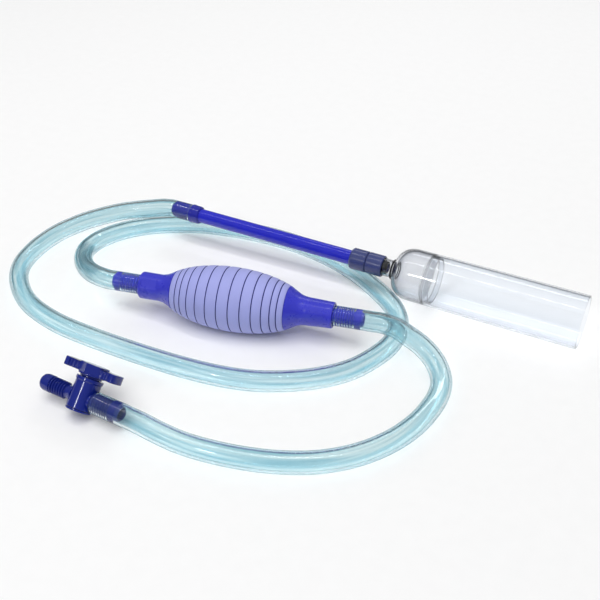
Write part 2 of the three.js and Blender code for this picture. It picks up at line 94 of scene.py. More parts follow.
def place_along(origin, along, up):
    """A frame at origin whose X points along, and whose Z is as near to up as it can be."""
    x = along.normalized()
    z = (up - x * up.dot(x)).normalized()
    turn = Matrix((x, z.cross(x), z)).transposed()
    return Matrix.Translation(origin) @ turn.to_4x4()


UP = Vector((0, 0, 1))
TUBE_LENGTH = 126
BULB_LENGTH = 161.4
STEM_POINT = 18  # the valve's turning point lies this far up the stem from the barbs' axis

wand_axis = Vector(joints["gravel_tube_pull"]["axis"]).normalized()
wand_place = place_along(centre("gravel_tube") + wand_axis * (TUBE_LENGTH / 2 * MM), wand_axis, UP)

bulb_axis = Vector(joints["inlet_disc_lift"]["axis"]).normalized()
bulb_middle = (centre("inlet_connector") + centre("outlet_connector")) / 2
bulb_place = place_along(bulb_middle - bulb_axis * (BULB_LENGTH / 2 * MM), bulb_axis, UP)

stem_axis = Vector(joints["valve_turn"]["axis"]).normalized()
barb_axis = -Vector(mounts["drain_outlet"]["axis"])
valve_centre = Vector(joints["valve_turn"]["pos_m"]) - stem_axis * (STEM_POINT * MM)
valve_place = place_along(valve_centre, barb_axis, stem_axis)
stem_place = place_along(valve_centre, stem_axis, barb_axis)


# ---- Shapes: each is a list of points in metres and a list of faces --------------------------

def strip(rows, sides, closed):
    """Quads between neighbouring rows of points, and a face over each end of an open strip."""
    faces = []
    for row in range(rows if closed else rows - 1):
        first = row * sides
        second = (row + 1) % rows * sides
        for k in range(sides):
            turn = (k + 1) % sides
            faces.append((first + k, first + turn, second + turn, second + k))
    if not closed:
        faces.append(tuple(range(sides)))
        faces.append(tuple(range((rows - 1) * sides, rows * sides)))
    return faces


def lathe(place, profile, sides=96, closed=True, reshape=None):
    """Turns a profile of (along, radius) in millimetres about the place's X axis."""
    points = []
    for along, radius in profile:
        for k in range(sides):
            angle = math.tau * k / sides
            reach = reshape(along, angle, radius) if reshape else radius
            spot = Vector((along, reach * math.cos(angle), reach * math.sin(angle)))
            points.append(place @ (spot * MM))
    return points, strip(len(profile), sides, closed)


def rounded(corners, radius, closed=True, steps=4):
    """The same profile with its sharp corners rounded off, as far as their sides allow."""
    shallow = math.radians(155)
    corners = [Vector(corner) for corner in corners]
    result = []
    for k, corner in enumerate(corners):
        to_last = corners[k - 1] - corner
        to_next = corners[(k + 1) % len(corners)] - corner
        at_end = not closed and k in (0, len(corners) - 1)
        turn = to_last.angle(to_next)
        if at_end or turn > shallow:
            result.append(corner)
            continue
        reach = min(radius / math.tan(turn / 2), 0.45 * to_last.length, 0.45 * to_next.length)
        start = corner + to_last.normalized() * reach
        end = corner + to_next.normalized() * reach
        for step in range(steps + 1):
            t = step / steps
            result.append(start.lerp(corner, t).lerp(corner.lerp(end, t), t))
    return result


def flowing(points, steps=5):
    """A smooth curve through points of any dimension (Catmull-Rom with even steps)."""
    points = [Vector(point) for point in points]
    ends = [2 * points[0] - points[1], *points, 2 * points[-1] - points[-2]]
    result = []
    for before, start, end, after in zip(ends, ends[1:], ends[2:], ends[3:]):
        for step in range(steps):
            t = step / steps
            leave = (end - before) / 2
            arrive = (after - start) / 2
            result.append(hermite(start, end, leave, arrive, t))
    return [*result, points[-1]]


def hermite(start, end, leave, arrive, t):
    squared = t * t
    cubed = squared * t
    return (start * (2 * cubed - 3 * squared + 1) + leave * (cubed - 2 * squared + t)
            + end * (3 * squared - 2 * cubed) + arrive * (cubed - squared))


def centripetal(points, steps=40):
    """A centripetal Catmull-Rom curve, which keeps its bends even where points are uneven."""
    ends = [2 * points[0] - points[1], *points, 2 * points[-1] - points[-2]]
    result = []
    for before, start, end, after in zip(ends, ends[1:], ends[2:], ends[3:]):
        first = math.sqrt((start - before).length)
        middle = math.sqrt((end - start).length)
        last = math.sqrt((after - end).length)
        chord = end - start
        leave = chord + ((start - before) / first - (end - before) / (first + middle)) * middle
        arrive = chord + ((after - end) / last - (after - start) / (middle + last)) * middle
        result += [hermite(start, end, leave, arrive, step / steps) for step in range(steps)]
    return [*result, points[-1]]


def even_steps(path, spacing):
    """Points at even distances along a path."""
    lengths = [0.0]
    for start, end in zip(path, path[1:]):
        lengths.append(lengths[-1] + (end - start).length)
    count = round(lengths[-1] / spacing)
    result = []
    span = 0
    for step in range(count + 1):
        goal = lengths[-1] * step / count
        while span < len(path) - 2 and lengths[span + 1] < goal:
            span += 1
        share = (goal - lengths[span]) / (lengths[span + 1] - lengths[span])
        result.append(path[span].lerp(path[span + 1], share))
    return result


HOSE_SIDES = 64


def hose_wall(path, outer, inner, sides=HOSE_SIDES):
    """A pipe along a path, with an outer and an inner radius in metres at each of its points."""
    tangents = []
    for k in range(len(path)):
        ahead = path[min(k + 1, len(path) - 1)]
        behind = path[max(k - 1, 0)]
        tangents.append((ahead - behind).normalized())
    side = tangents[0].orthogonal().normalized()
    rings = []
    for spot, tangent in zip(path, tangents):
        side = (side - tangent * side.dot(tangent)).normalized()
        rings.append((spot, side, tangent.cross(side)))

    def row(ring, radius):
        spot, across, over = ring
        angles = [math.tau * k / sides for k in range(sides)]
        return [spot + (across * math.cos(a) + over * math.sin(a)) * radius for a in angles]

    points = []
    for ring, radius in zip(rings, outer):
        points += row(ring, radius)
    for ring, radius in reversed(list(zip(rings, inner))):
        points += row(ring, radius)
    return points, strip(2 * len(path), sides, True)


def slab(place, outline, low, high, edge, steps=3):
    """An outline in the place's Y and Z, run along its X from low to high with rounded edges.
    The outline runs anticlockwise."""
    count = len(outline)
    outline = [Vector(corner) for corner in outline]
    inwards = []
    for k in range(count):
        tangent = outline[(k + 1) % count] - outline[k - 1]
        inwards.append(Vector((-tangent.y, tangent.x)).normalized())
    levels = []
    for step in range(steps + 1):
        angle = math.pi / 2 * step / steps
        levels.append((low + edge * (1 - math.sin(angle)), edge * (1 - math.cos(angle))))
    lower = levels[::-1]
    upper = [(low + high - along, inset) for along, inset in levels]
    points = []
    for along, inset in [*lower, *upper]:
        for corner, inward in zip(outline, inwards):
            spot = corner + inward * inset
            points.append(place @ (Vector((along, spot.x, spot.y)) * MM))
    return points, strip(len(lower) + len(upper), count, False)


def add_flow(obj, rows, spacing, sides=HOSE_SIDES, stretch=4.0):
    """Stores at each point of a hose its place round the hose and, squeezed, along it."""
    flow = obj.data.attributes.new("flow", "FLOAT_VECTOR", "POINT")
    values = []
    for row in range(2 * rows):
        step = row if row < rows else 2 * rows - 1 - row
        for k in range(sides):
            angle = math.tau * k / sides
            values += [math.cos(angle), math.sin(angle), step * spacing * stretch]
    flow.data.foreach_set("vector", values)


def merged(*shapes):
    points = []
    faces = []
    for shape_points, shape_faces in shapes:
        offset = len(points)
        points += shape_points
        faces += [tuple(k + offset for k in face) for face in shape_faces]
    return points, faces


def piece(name, shape, body, slot, material, *nodes):
    """A finished piece: smooth, facing out, riding on a body and standing for its CAD nodes."""
    points, faces = shape
    mesh = bpy.data.meshes.new(name)
    mesh.from_pydata(points, [], faces)
    shaper = bmesh.new()
    shaper.from_mesh(mesh)
    bmesh.ops.recalc_face_normals(shaper, faces=shaper.faces)
    shaper.to_mesh(mesh)
    shaper.free()
    mesh.polygons.foreach_set("use_smooth", [True] * len(mesh.polygons))
    mesh.materials.append(material)
    obj = bpy.data.objects.new(name, mesh)
    scene.collection.objects.link(obj)
    modifier = obj.modifiers.new("even shading", "WEIGHTED_NORMAL")
    modifier.weight = 100
    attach(obj, body)
    if nodes:
        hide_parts(*nodes)
    return obj


# ---- Materials -------------------------------------------------------------------------------

class Nodes:
    """Builds a material's node tree: each call adds one node and links what it is given."""

    def __init__(self, name):
        self.material = bpy.data.materials.new(name)
        self.material.use_nodes = True
        self.tree = self.material.node_tree
        self.shader = self.tree.nodes["Principled BSDF"]
        self.output = self.tree.nodes["Material Output"]
        self.place = self.add("ShaderNodeTexCoord").outputs["Object"]

    def add(self, kind, settings=(), **sockets):
        node = self.tree.nodes.new(kind)
        for key, value in dict(settings).items():
            setattr(node, key, value)
        for key, value in sockets.items():
            self.feed(node.inputs[key.replace("_", " ")], value)
        return node

    def feed(self, socket, value):
        if isinstance(value, bpy.types.NodeSocket):
            self.tree.links.new(value, socket)
        else:
            socket.default_value = value

    def noise(self, scale, detail=2.0, roughness=0.5):
        node = self.add("ShaderNodeTexNoise", Vector=self.place, Scale=scale, Detail=detail,
                        Roughness=roughness)
        return node.outputs["Fac"]

    def spread(self, value, low, high):
        """Maps a value that lies round a half to the range from low to high."""
        node = self.add("ShaderNodeMapRange", Value=value, From_Min=0.3, From_Max=0.7,
                        To_Min=low, To_Max=high)
        return node.outputs["Result"]

    def rise(self, value, start, end):
        """0 below start, 1 above end, with a smooth step between."""
        node = self.add("ShaderNodeMapRange", {"interpolation_type": "SMOOTHSTEP"}, Value=value,
                        From_Min=start, From_Max=end)
        return node.outputs["Result"]

    def blend(self, factor, first, second):
        node = self.add("ShaderNodeMix", {"data_type": "RGBA"})
        self.feed(node.inputs["Factor"], factor)
        colours = [socket for socket in node.inputs if socket.type == "RGBA"]
        self.feed(colours[0], first)
        self.feed(colours[1], second)
        return next(socket for socket in node.outputs if socket.type == "RGBA")

    def bump(self, height, strength, distance, over=None):
        node = self.add("ShaderNodeBump", Height=height, Strength=strength, Distance=distance)
        if over is not None:
            self.feed(node.inputs["Normal"], over)
        return node.outputs["Normal"]

    def set(self, **sockets):
        for key, value in sockets.items():
            self.feed(self.shader.inputs[key.replace("_", " ")], value)


def shade(colour, factor):
    return (colour[0] * factor, colour[1] * factor, colour[2] * factor, 1)


def moulded(name, colour, roughness, grain=0.35, coat=0.0, ior=1.47, alpha=1.0):
    """Injection-moulded plastic: cloudy in colour, with flow marks and a fine spark grain."""
    nodes = Nodes(name)
    cloud = nodes.noise(55, 3)
    smear = nodes.noise(230, 4)
    sparks = nodes.noise(2400, 2)
    nodes.set(
        Base_Color=nodes.blend(cloud, shade(colour, 0.84), shade(colour, 1.16)),
        Roughness=nodes.spread(smear, roughness * 0.8, roughness * 1.25),
        Normal=nodes.bump(sparks, grain, 0.00006, nodes.bump(cloud, 0.25, 0.0002)),
        IOR=ior,
        Coat_Weight=coat,
        Coat_Roughness=0.06,
        Alpha=alpha,
    )
    return nodes.material


def soft_rubber(name, colour, roughness, sheen=0.15):
    """Matt elastomer with a fine skin, faint handling marks and a soft bloom at the edges."""
    nodes = Nodes(name)
    cloud = nodes.noise(38, 4)
    marks = nodes.noise(310, 5, 0.6)
    skin = nodes.noise(1700, 3)
    nodes.set(
        Base_Color=nodes.blend(cloud, shade(colour, 0.9), shade(colour, 1.09)),
        Roughness=nodes.spread(marks, roughness * 0.85, min(1.0, roughness * 1.2)),
        Normal=nodes.bump(skin, 0.3, 0.00008),
        Sheen_Weight=sheen,
        Sheen_Roughness=0.5,
    )
    return nodes.material


def clear(name, tint, painted_rim_shades, shadow_tint, roughness, ior, streaks=None, milk=0.0):
    """Clear plastic. rims lists (start, end, tint): how the tint changes towards the outline,
    where the wall is seen edge on. That darkening is painted shade: it stands for the dark edges
    that refraction shows at a clear wall seen edge on, and partly for the deeper tint of the longer
    path through tinted plastic. streaks is a second tint, which runs along the flow attribute in
    fine bands, as drawn vinyl shows. milk is the share that scatters light."""
    nodes = Nodes(name)
    facing = nodes.add("ShaderNodeLayerWeight", Blend=0.5).outputs["Facing"]
    smear = nodes.noise(260, 4)
    colour = (*tint, 1)
    if streaks:
        flow = nodes.add("ShaderNodeAttribute", {"attribute_name": "flow"}).outputs["Vector"]
        band = nodes.add("ShaderNodeTexNoise", Vector=flow, Scale=2.4, Detail=2.0, Roughness=0.5)
        colour = nodes.blend(nodes.rise(band.outputs["Fac"], 0.42, 0.6), colour, (*streaks, 1))
    # Each band blends in a darker tint towards the outline: painted shade for the dark edges.
    for start, end, rim in painted_rim_shades:
        colour = nodes.blend(nodes.rise(facing, start, end), colour, (*rim, 1))
    nodes.set(
        Base_Color=colour,
        Roughness=nodes.spread(smear, roughness * 0.6, roughness * 1.5),
        IOR=ior,
        Transmission_Weight=1.0 - milk,
    )
    shadow = nodes.add("ShaderNodeLightPath").outputs["Is Shadow Ray"]
    through = nodes.add("ShaderNodeBsdfTransparent", Color=(*shadow_tint, 1))
    mix = nodes.add("ShaderNodeMixShader", Fac=shadow)
    nodes.feed(mix.inputs[1], nodes.shader.outputs[0])
    nodes.feed(mix.inputs[2], through.outputs[0])
    nodes.feed(nodes.output.inputs["Surface"], mix.outputs[0])
    return nodes.material


# The outline tints in these lists are painted shade for the dark edges of clear walls; the dome's are nearly
# black.
acrylic = clear("clear acrylic", (0.955, 0.975, 1.0),
                [(0.1, 0.65, (0.86, 0.895, 0.95)), (0.66, 0.86, (0.25, 0.27, 0.32))],
                (0.98, 0.985, 0.99), 0.03, 1.42)
dome_acrylic = clear("clear dome acrylic", (0.9, 0.915, 0.94),
                     [(0.1, 0.5, (0.7, 0.725, 0.77)), (0.5, 0.8, (0.05, 0.055, 0.07))],
                     (0.98, 0.985, 0.99), 0.04, 1.42)
hose_vinyl = clear("clear aqua vinyl", (0.85, 0.94, 0.95), [(0.5, 0.74, (0.13, 0.28, 0.34))],
                   (0.97, 0.985, 0.99), 0.05, 1.45, streaks=(0.57, 0.77, 0.83), milk=0.015)
lavender = soft_rubber("lavender rubber", (0.36, 0.385, 0.78), 0.5)
# Dark blue painted shade for the floors and walls of the sleeve's grooves.
groove_painted_shade = moulded("painted groove shade", (0.02, 0.025, 0.22), 0.5)
bulb_blue = moulded("bulb blue plastic", (0.032, 0.036, 0.53), 0.3, coat=0.3)
slate = moulded("slate plastic", (0.046, 0.06, 0.185), 0.2, coat=0.2)
royal_blue = moulded("royal blue plastic", (0.014, 0.018, 0.5), 0.14, grain=0.1, coat=0.35)
collar_blue = moulded("collar blue plastic", (0.013, 0.017, 0.31), 0.16, grain=0.12, coat=0.4)
valve_blue = moulded("valve blue plastic", (0.006, 0.016, 0.2), 0.13, grain=0.2, ior=1.5)
black_rubber = soft_rubber("black rubber", (0.004, 0.004, 0.005), 0.4, sheen=0.0)
white_plastic = moulded("white valve plastic", (0.8, 0.81, 0.83), 0.4)
frosted = moulded("frosted plastic", (0.95, 0.96, 0.98), 0.4, alpha=0.22)


# ---- Hoses -----------------------------------------------------------------------------------

HOSE_RADIUS = 8.15 * MM
HOSE_BORE = 6.1 * MM
HOSE_WALL = 1.95 * MM
GRIP_LENGTH = 25 * MM
GRIP_TAPER = 6 * MM
BARB_BITE = 0.12 * MM  # the bore is this much smaller than the barb that stretches it

intake_route = [
    (-0.1908, 0.1151, 0.0296), (-0.2002, 0.1141, 0.0279), (-0.2126, 0.1113, 0.0252),
    (-0.2254, 0.1066, 0.023), (-0.2378, 0.0999, 0.021), (-0.2603, 0.0833, 0.0159),
    (-0.2704, 0.0724, 0.0129), (-0.2782, 0.0586, 0.0105), (-0.2816, 0.0419, 0.009),
    (-0.2812, 0.0245, 0.0084), (-0.2754, 0.0023, 0.0083), (-0.2625, -0.0174, 0.0083),
    (-0.2345, -0.0397, 0.0083), (-0.2, -0.0517, 0.0083), (-0.16, -0.0562, 0.0083),
    (-0.07, -0.0562, 0.0083), (-0.0275, -0.0498, 0.0083), (0.0, -0.0387, 0.0083),
    (0.0242, -0.0222, 0.0083), (0.0406, -0.0044, 0.0083), (0.0516, 0.0182, 0.0083),
    (0.0568, 0.0406, 0.0083), (0.0546, 0.0616, 0.0083), (0.0466, 0.0786, 0.0083),
    (0.0345, 0.0918, 0.0083), (0.0, 0.1158, 0.0083), (-0.027, 0.1286, 0.0083),
    (-0.0623, 0.1384, 0.0083), (-0.099, 0.1416, 0.0083), (-0.139, 0.1384, 0.0083),
    (-0.176, 0.129, 0.0083), (-0.2126, 0.108, 0.0083), (-0.2312, 0.0865, 0.0084),
    (-0.2388, 0.066, 0.009), (-0.237, 0.0465, 0.0112), (-0.2275, 0.0285, 0.0154),
    (-0.2135, 0.0125, 0.0202), (-0.2, 0.002, 0.0239), (-0.1882, -0.003, 0.0258),
    (-0.1761, -0.0039, 0.026),
]

drain_route = [
    (0.0403, 0.0378, 0.026), (0.05, 0.0395, 0.026), (0.0605, 0.039, 0.0256),
    (0.0714, 0.0365, 0.0234), (0.0826, 0.0349, 0.0193), (0.0934, 0.0306, 0.0146),
    (0.102, 0.023, 0.0108), (0.1079, 0.0122, 0.0089), (0.1106, -0.0014, 0.0083),
    (0.1102, -0.0194, 0.0083), (0.1066, -0.0394, 0.0083), (0.098, -0.0614, 0.0083),
    (0.083, -0.0834, 0.0083), (0.0625, -0.1014, 0.0083), (0.0387, -0.1136, 0.0083),
    (0.0125, -0.1216, 0.0083), (-0.014, -0.126, 0.0083), (-0.032, -0.1273, 0.0088),
    (-0.049, -0.1277, 0.011), (-0.0635, -0.1275, 0.0135), (-0.0744, -0.1267, 0.0139),
]

ADAPTER_BARB = 6.05 * MM
BULB_BARB = 6.3 * MM
VALVE_BARB = 6.5 * MM

# Where the hoses end, in millimetres along the axis of each fitting.
ADAPTER_END = -355.3
BULB_GAP = 0.3
VALVE_END = 11.4


def on_axis(place, along):
    return place @ Vector((along * MM, 0, 0))


def hose(name, node, start, end, route, barbs):
    """A hose from the fitting at start to the one at end, stretched a little over both barbs."""
    spacing = 1.5 * MM
    line = centripetal([Vector(point) for point in route])
    path = even_steps([start, *line, end], spacing)
    whole = spacing * (len(path) - 1)
    outer = []
    inner = []
    for k in range(len(path)):
        from_start = spacing * k
        nearer, barb = min((from_start, barbs[0]), (whole - from_start, barbs[1]))
        grip = min(1.0, max(0.0, 1 - (nearer - GRIP_LENGTH) / GRIP_TAPER))
        grip = grip * grip * (3 - 2 * grip)
        bore = HOSE_BORE + (barb - BARB_BITE - HOSE_BORE) * grip
        inner.append(bore)
        outer.append(HOSE_RADIUS + (bore + HOSE_WALL - HOSE_RADIUS) * grip)
    obj = piece(name, hose_wall(path, outer, inner), "siphon", "clear_aqua_hose", hose_vinyl, node)
    add_flow(obj, len(path), spacing)
    return obj


hose("intake_hose_pipe", "intake_hose", on_axis(wand_place, ADAPTER_END),
     on_axis(bulb_place, -BULB_GAP), intake_route, (ADAPTER_BARB, BULB_BARB))
hose("drain_hose_pipe", "drain_hose", on_axis(bulb_place, BULB_LENGTH + BULB_GAP),
     on_axis(valve_place, VALVE_END), drain_route, (BULB_BARB, VALVE_BARB))


# ---- Wand ------------------------------------------------------------------------------------

TUBE_BORE = 20.4
TUBE_RADIUS = 21.9
SPIGOT_BORE = 18.6
SPIGOT_RADIUS = 20.1
NECK_BORE = 6
NECK_RADIUS = 7.5


def quarter(start, end, outer, inner, squareness=1.0, steps=14):
    """Points from (start, outer) to (end, inner) on a quarter ellipse, or a squarer one."""
    result = []
    for step in range(steps + 1):
        angle = math.pi / 2 * step / steps
        along = math.sin(angle) ** squareness
        across = math.cos(angle) ** squareness
        result.append((start + (end - start) * along, inner + (outer - inner) * across))
    return result


def ribs(start, end, count, root, crest, sharpness=0.5):
    """Rounded ribs from one distance to another, each rising from root to crest and back."""
    pitch = (end - start) / count
    result = []
    for k in range(count):
        for share in (0.0, 0.25, 0.5, 0.75):
            height = (0.5 - 0.5 * math.cos(math.tau * share)) ** sharpness
            result.append((start + pitch * (k + share), root + (crest - root) * height))
    return [*result, (end, root)]


def gravel_tube():
    return lathe(wand_place, rounded([
        (-TUBE_LENGTH, TUBE_BORE), (0, TUBE_BORE), (0, TUBE_RADIUS), (-TUBE_LENGTH, TUBE_RADIUS),
    ], 0.45), sides=160)


def dome_cap():
    spigot_end = -121.5
    seam = -126.3
    ledge = -127.9
    shoulder = -140.5
    neck_end = -172.5
    squareness = 0.9
    outside = quarter(shoulder, -157.5, TUBE_RADIUS, NECK_RADIUS, squareness)
    inside = quarter(shoulder, -156, TUBE_BORE, NECK_BORE, squareness)
    profile = [
        (spigot_end, SPIGOT_BORE), (spigot_end, SPIGOT_RADIUS),
        (seam, SPIGOT_RADIUS), (seam, TUBE_RADIUS),
        *outside,
        (neck_end, NECK_RADIUS), (neck_end, NECK_BORE),
        *inside[::-1],
        (ledge, TUBE_BORE), (ledge, SPIGOT_BORE),
    ]
    return lathe(wand_place, rounded(profile, 0.4), sides=160)


def strainer():
    """A round grid of bars and thinner cross bars in a rim."""
    back = -129.8
    front = -128.9
    count = 15
    pitch = 2.4
    half = 0.6
    thin = 0.35
    inset = 0.15
    rim_bore = 17.8
    bar_end = 18.4
    bars = []
    for k in range(count):
        middle = (k - count // 2) * pitch
        reach = math.sqrt(bar_end ** 2 - (abs(middle) + 2 * half) ** 2)
        along = [(-reach, middle - half), (reach, middle - half), (reach, middle + half),
                 (-reach, middle + half)]
        across = [(middle - thin, reach), (middle - thin, -reach), (middle + thin, -reach),
                  (middle + thin, reach)]
        bars.append(slab(wand_place, along, back, front, 0.2))
        bars.append(slab(wand_place, across, back + inset, front - inset, 0.1))
    rim = lathe(wand_place, rounded([
        (back, rim_bore), (back, SPIGOT_RADIUS), (front, SPIGOT_RADIUS), (front, rim_bore),
    ], 0.3))
    return merged(rim, *bars)


def neck_seal():
    middle = -159.2
    radius = 8.2
    half_width = 0.85
    half_height = 0.5
    steps = 16
    angles = [math.tau * k / steps for k in range(steps)]
    return lathe(wand_place, [
        (middle + half_width * math.cos(a), radius + half_height * math.sin(a)) for a in angles
    ])


def union_nut():
    return lathe(wand_place, rounded([
        (-168, 7.9), (-168, 8.5), (-168.8, 9.2), (-181.6, 9.2), (-182.4, 8.6), (-182.4, 8.1),
        (-172, 8.1), (-172, 7.9),
    ], 0.35))


def union_socket():
    return lathe(wand_place, rounded([
        (-197.3, 6.6), (-197.3, 8.2), (-196.1, 9.2), (-183.5, 9.2), (-182.7, 8.6),
        (-182.7, 7.7), (-174, 7.7), (-174, 5.6), (-168.6, 5.6), (-168.6, 4.5), (-164.2, 4.5),
        (-164.2, 3.8), (-185.7, 3.8), (-185.7, 6.6),
    ], 0.35))


def union_seal():
    """The black lip seal on the nose of the union's spigot, with a bulging front."""
    return lathe(wand_place, rounded([
        (-168.3, 4.4), (-168.3, 5.85), (-165.6, 5.85), (-163.9, 4.9), (-163.9, 3.9),
        (-164.3, 3.9), (-164.3, 4.4),
    ], 0.25))


def extension_tube():
    return lathe(wand_place, rounded([
        (-353.5, 5.2), (-186, 5.2), (-186, 6.3), (-353.5, 6.3),
    ], 0.3))


def hose_adapter():
    return lathe(wand_place, rounded([
        (-346.5, 6.6), (-346.5, 7), (-347.6, 7.9), (-349.4, 8.1), (-353.4, 8.1), (-353.8, 8.4),
        (-355.9, 8.4), (-355.9, 5.4), (-356.6, 5.4), (-358.4, 6.05), (-372.6, 6.05),
        (-375, 4.9), (-375, 4.5),
        (-356.2, 4.5), (-356.2, 5), (-354, 6.6),
    ], 0.5))


piece("gravel_tube_shell", gravel_tube(), "gravel_tube", "clear_acrylic", acrylic, "gravel_tube")
piece("dome_shell", dome_cap(), "siphon", "clear_acrylic", dome_acrylic, "dome_cap")
piece("strainer_grid", strainer(), "siphon", "frosted_plastic", frosted, "gravel_strainer")
piece("neck_seal", neck_seal(), "siphon", "black_rubber", black_rubber, "neck_seal_ring")
piece("union_nut_shell", union_nut(), "union_nut", "slate_plastic", slate, "union_nut")
piece("union_socket_shell", union_socket(), "siphon", "slate_plastic", slate, "union_socket")
piece("union_seal_ring", union_seal(), "siphon", "black_rubber", black_rubber, "union_seal")
piece("wand_pipe", extension_tube(), "siphon", "royal_blue_plastic", royal_blue, "extension_tube")
piece("adapter_collar", hose_adapter(), "siphon", "royal_blue_plastic", collar_blue,
      "hose_adapter")


# ---- Bulb ------------------------------------------------------------------------------------

BULB_MIDDLE = 78.5
BULB_HALF_SPAN = 62.5
BULB_RADIUS = 26
SLEEVE_START = 30
SLEEVE_END = 124


def bulb_radius(along, depth=0.0):
    reach = (along - BULB_MIDDLE) / (BULB_HALF_SPAN - depth)
    return (BULB_RADIUS - depth) * math.sqrt(max(0.0, 1 - reach * reach))


def bulb_arc(start, end, steps, depth):
    return [(start + (end - start) * k / steps,
             bulb_radius(start + (end - start) * k / steps, depth)) for k in range(steps + 1)]


def bump_at(value, middle, width):
    """A smooth bump of height 1 at middle that falls to nothing a width away."""
    away = abs(value - middle) / width
    return 0.5 + 0.5 * math.cos(math.pi * away) if away < 1 else 0.0


def angle_between(first, second):
    return abs((first - second + math.pi) % math.tau - math.pi)


# Angles about the bulb's axis from its Y, so the front of the bulb is at 180 degrees.
GRIP_ANGLES = (math.radians(136), math.radians(316))
SEAM_ANGLES = (math.radians(169), math.radians(349))


def neck_details(along, angle, radius):
    """Thumb ribs on one neck, a flat pad on the other, and the mould seam along both."""
    bore_limit = 9.5
    rib_start, rib_end, rib_pitch, rib_height = 139.5, 155.5, 3.2, 0.42
    pad_start, pad_end, pad_depth = 2.5, 17, 0.75
    seam_height = 0.14
    if radius < bore_limit:
        return radius
    result = radius
    grip = max(bump_at(angle_between(angle, g), 0, math.radians(38)) for g in GRIP_ANGLES)
    if rib_start < along < rib_end:
        wave = 0.5 - 0.5 * math.cos(math.tau * (along - rib_start) / rib_pitch)
        result += rib_height * wave * min(1.0, grip * 2)
    if pad_start < along < pad_end:
        away = min(angle_between(angle, g) for g in GRIP_ANGLES)
        flat = (radius - pad_depth) / math.cos(min(away, 1.2))
        result = min(result, max(flat, radius - pad_depth))
    seam = max(bump_at(angle_between(angle, s), 0, math.radians(1.8)) for s in SEAM_ANGLES)
    return result + seam_height * seam


def bulb_shell():
    seat = 2.3
    left = flowing([(0.0, 9.6), (0.25, 10.5), (1.2, 11), (4, 11.05), (10, 11), (16.5, 11),
                    (20, 11.5), (23, 12.6), (26, 14.1), (SLEEVE_START - 0.15, 16.3)], 6)
    right = flowing([(SLEEVE_END + 0.15, 17.75), (127, 16.2), (130.5, 14.2), (133.5, 12.7),
                     (136.5, 11.75), (140, 11.3), (148, 10.95), (156, 10.6), (160.4, 10.45),
                     (161.2, 10.0), (BULB_LENGTH, 9.3)], 6)
    outside = [*left, *bulb_arc(SLEEVE_START - 0.1, SLEEVE_END + 0.1, 24, seat), *right]
    inside = [(BULB_LENGTH, 8.8), (135.5, 8.8), *bulb_arc(128, 29, 16, seat + 2.2), (17, 8.8),
              (0, 8.8)]
    return lathe(bulb_place, [*outside, *inside], sides=144, reshape=neck_details)


def groove_places():
    """Twelve grooves, which crowd together towards the ends of the sleeve."""
    count = 12
    middle = 77.3
    spread = 45.9
    turn = math.radians(12.06)
    return [middle + spread * math.sin((k - (count - 1) / 2) * turn) for k in range(count)]


def bulb_sleeve():
    """Bands of soft rubber with a narrow groove between each pair."""
    half_width = 0.36
    depth = 1.1
    crown = 0.28
    edges = [SLEEVE_START, *groove_places(), SLEEVE_END]
    outside = []
    for first, last in zip(edges, edges[1:]):
        start = first + (half_width if first != SLEEVE_START else 0)
        end = last - (half_width if last != SLEEVE_END else 0)
        steps = 8
        for k in range(steps + 1):
            share = 0.5 - 0.5 * math.cos(math.pi * k / steps)
            along = start + (end - start) * share
            lift = crown * (1 - (2 * share - 1) ** 4)
            outside.append((along, bulb_radius(along) - crown + lift))
        if last != SLEEVE_END:
            outside.append((end, bulb_radius(end) - depth))
            outside.append((last + half_width, bulb_radius(last + half_width) - depth))
    return lathe(bulb_place, [*outside, *bulb_arc(SLEEVE_END, SLEEVE_START, 24, 2)],
                 sides=160)


def paint_groove_shade(obj):
    """The floor and walls of each groove get a dark blue: painted shade for the narrow grooves, whose floor is
    still the sleeve's rubber.
    """
    obj.data.materials.append(groove_painted_shade)
    half_width = 0.42
    shallowest = 0.35
    deepest = 1.5
    places = groove_places()
    inverse = bulb_place.inverted()
    for polygon in obj.data.polygons:
        spot = (inverse @ polygon.center) / MM
        depth = bulb_radius(spot.x) - math.hypot(spot.y, spot.z)
        near = min(abs(spot.x - place) for place in places)
        if near < half_width and shallowest < depth < deepest:
            polygon.material_index = 1


def bulb_connector(place):
    """A hose barb towards -X and a plug, with the check valve's chamber, in the neck."""
    return lathe(place, rounded([
        (12, 6.4), (12, 8.5), (0.3, 8.5), (0.3, 5.5), (-1, 5.4),
        *ribs(-1.6, -16.2, 7, 5.2, 6.6),
        (-16.8, 5.6), (-17.4, 6.3), (-22, 6.3), (-24, 5.1), (-24, 4.2), (5, 4.2), (5, 6.4),
    ], 0.35))


outlet_place = bulb_place @ Matrix.Translation((BULB_LENGTH * MM, 0, 0)) @ Matrix.Rotation(
    math.pi, 4, "Z")

piece("bulb_body", bulb_shell(), "siphon", "bulb_blue_plastic", bulb_blue, "bulb_shell")
sleeve = piece("bulb_grip_sleeve", bulb_sleeve(), "siphon", "lavender_rubber", lavender,
               "bulb_sleeve")
# Painted shade in the sleeve's grooves.
paint_groove_shade(sleeve)
piece("inlet_barb", bulb_connector(bulb_place), "siphon", "bulb_blue_plastic", bulb_blue,
      "inlet_connector")
piece("outlet_barb", bulb_connector(outlet_place), "siphon", "bulb_blue_plastic", bulb_blue,
      "outlet_connector")


# ---- Valve -----------------------------------------------------------------------------------

def valve_barrel():
    return lathe(stem_place, rounded([
        (-8.3, 1), (-8.3, 9.4), (-7.9, 9.6), (11.8, 9.6), (12.6, 10.2), (14.8, 10.2),
        (14.8, 6.6), (-6.5, 6.6), (-6.5, 1),
    ], 0.35, closed=False), closed=False)


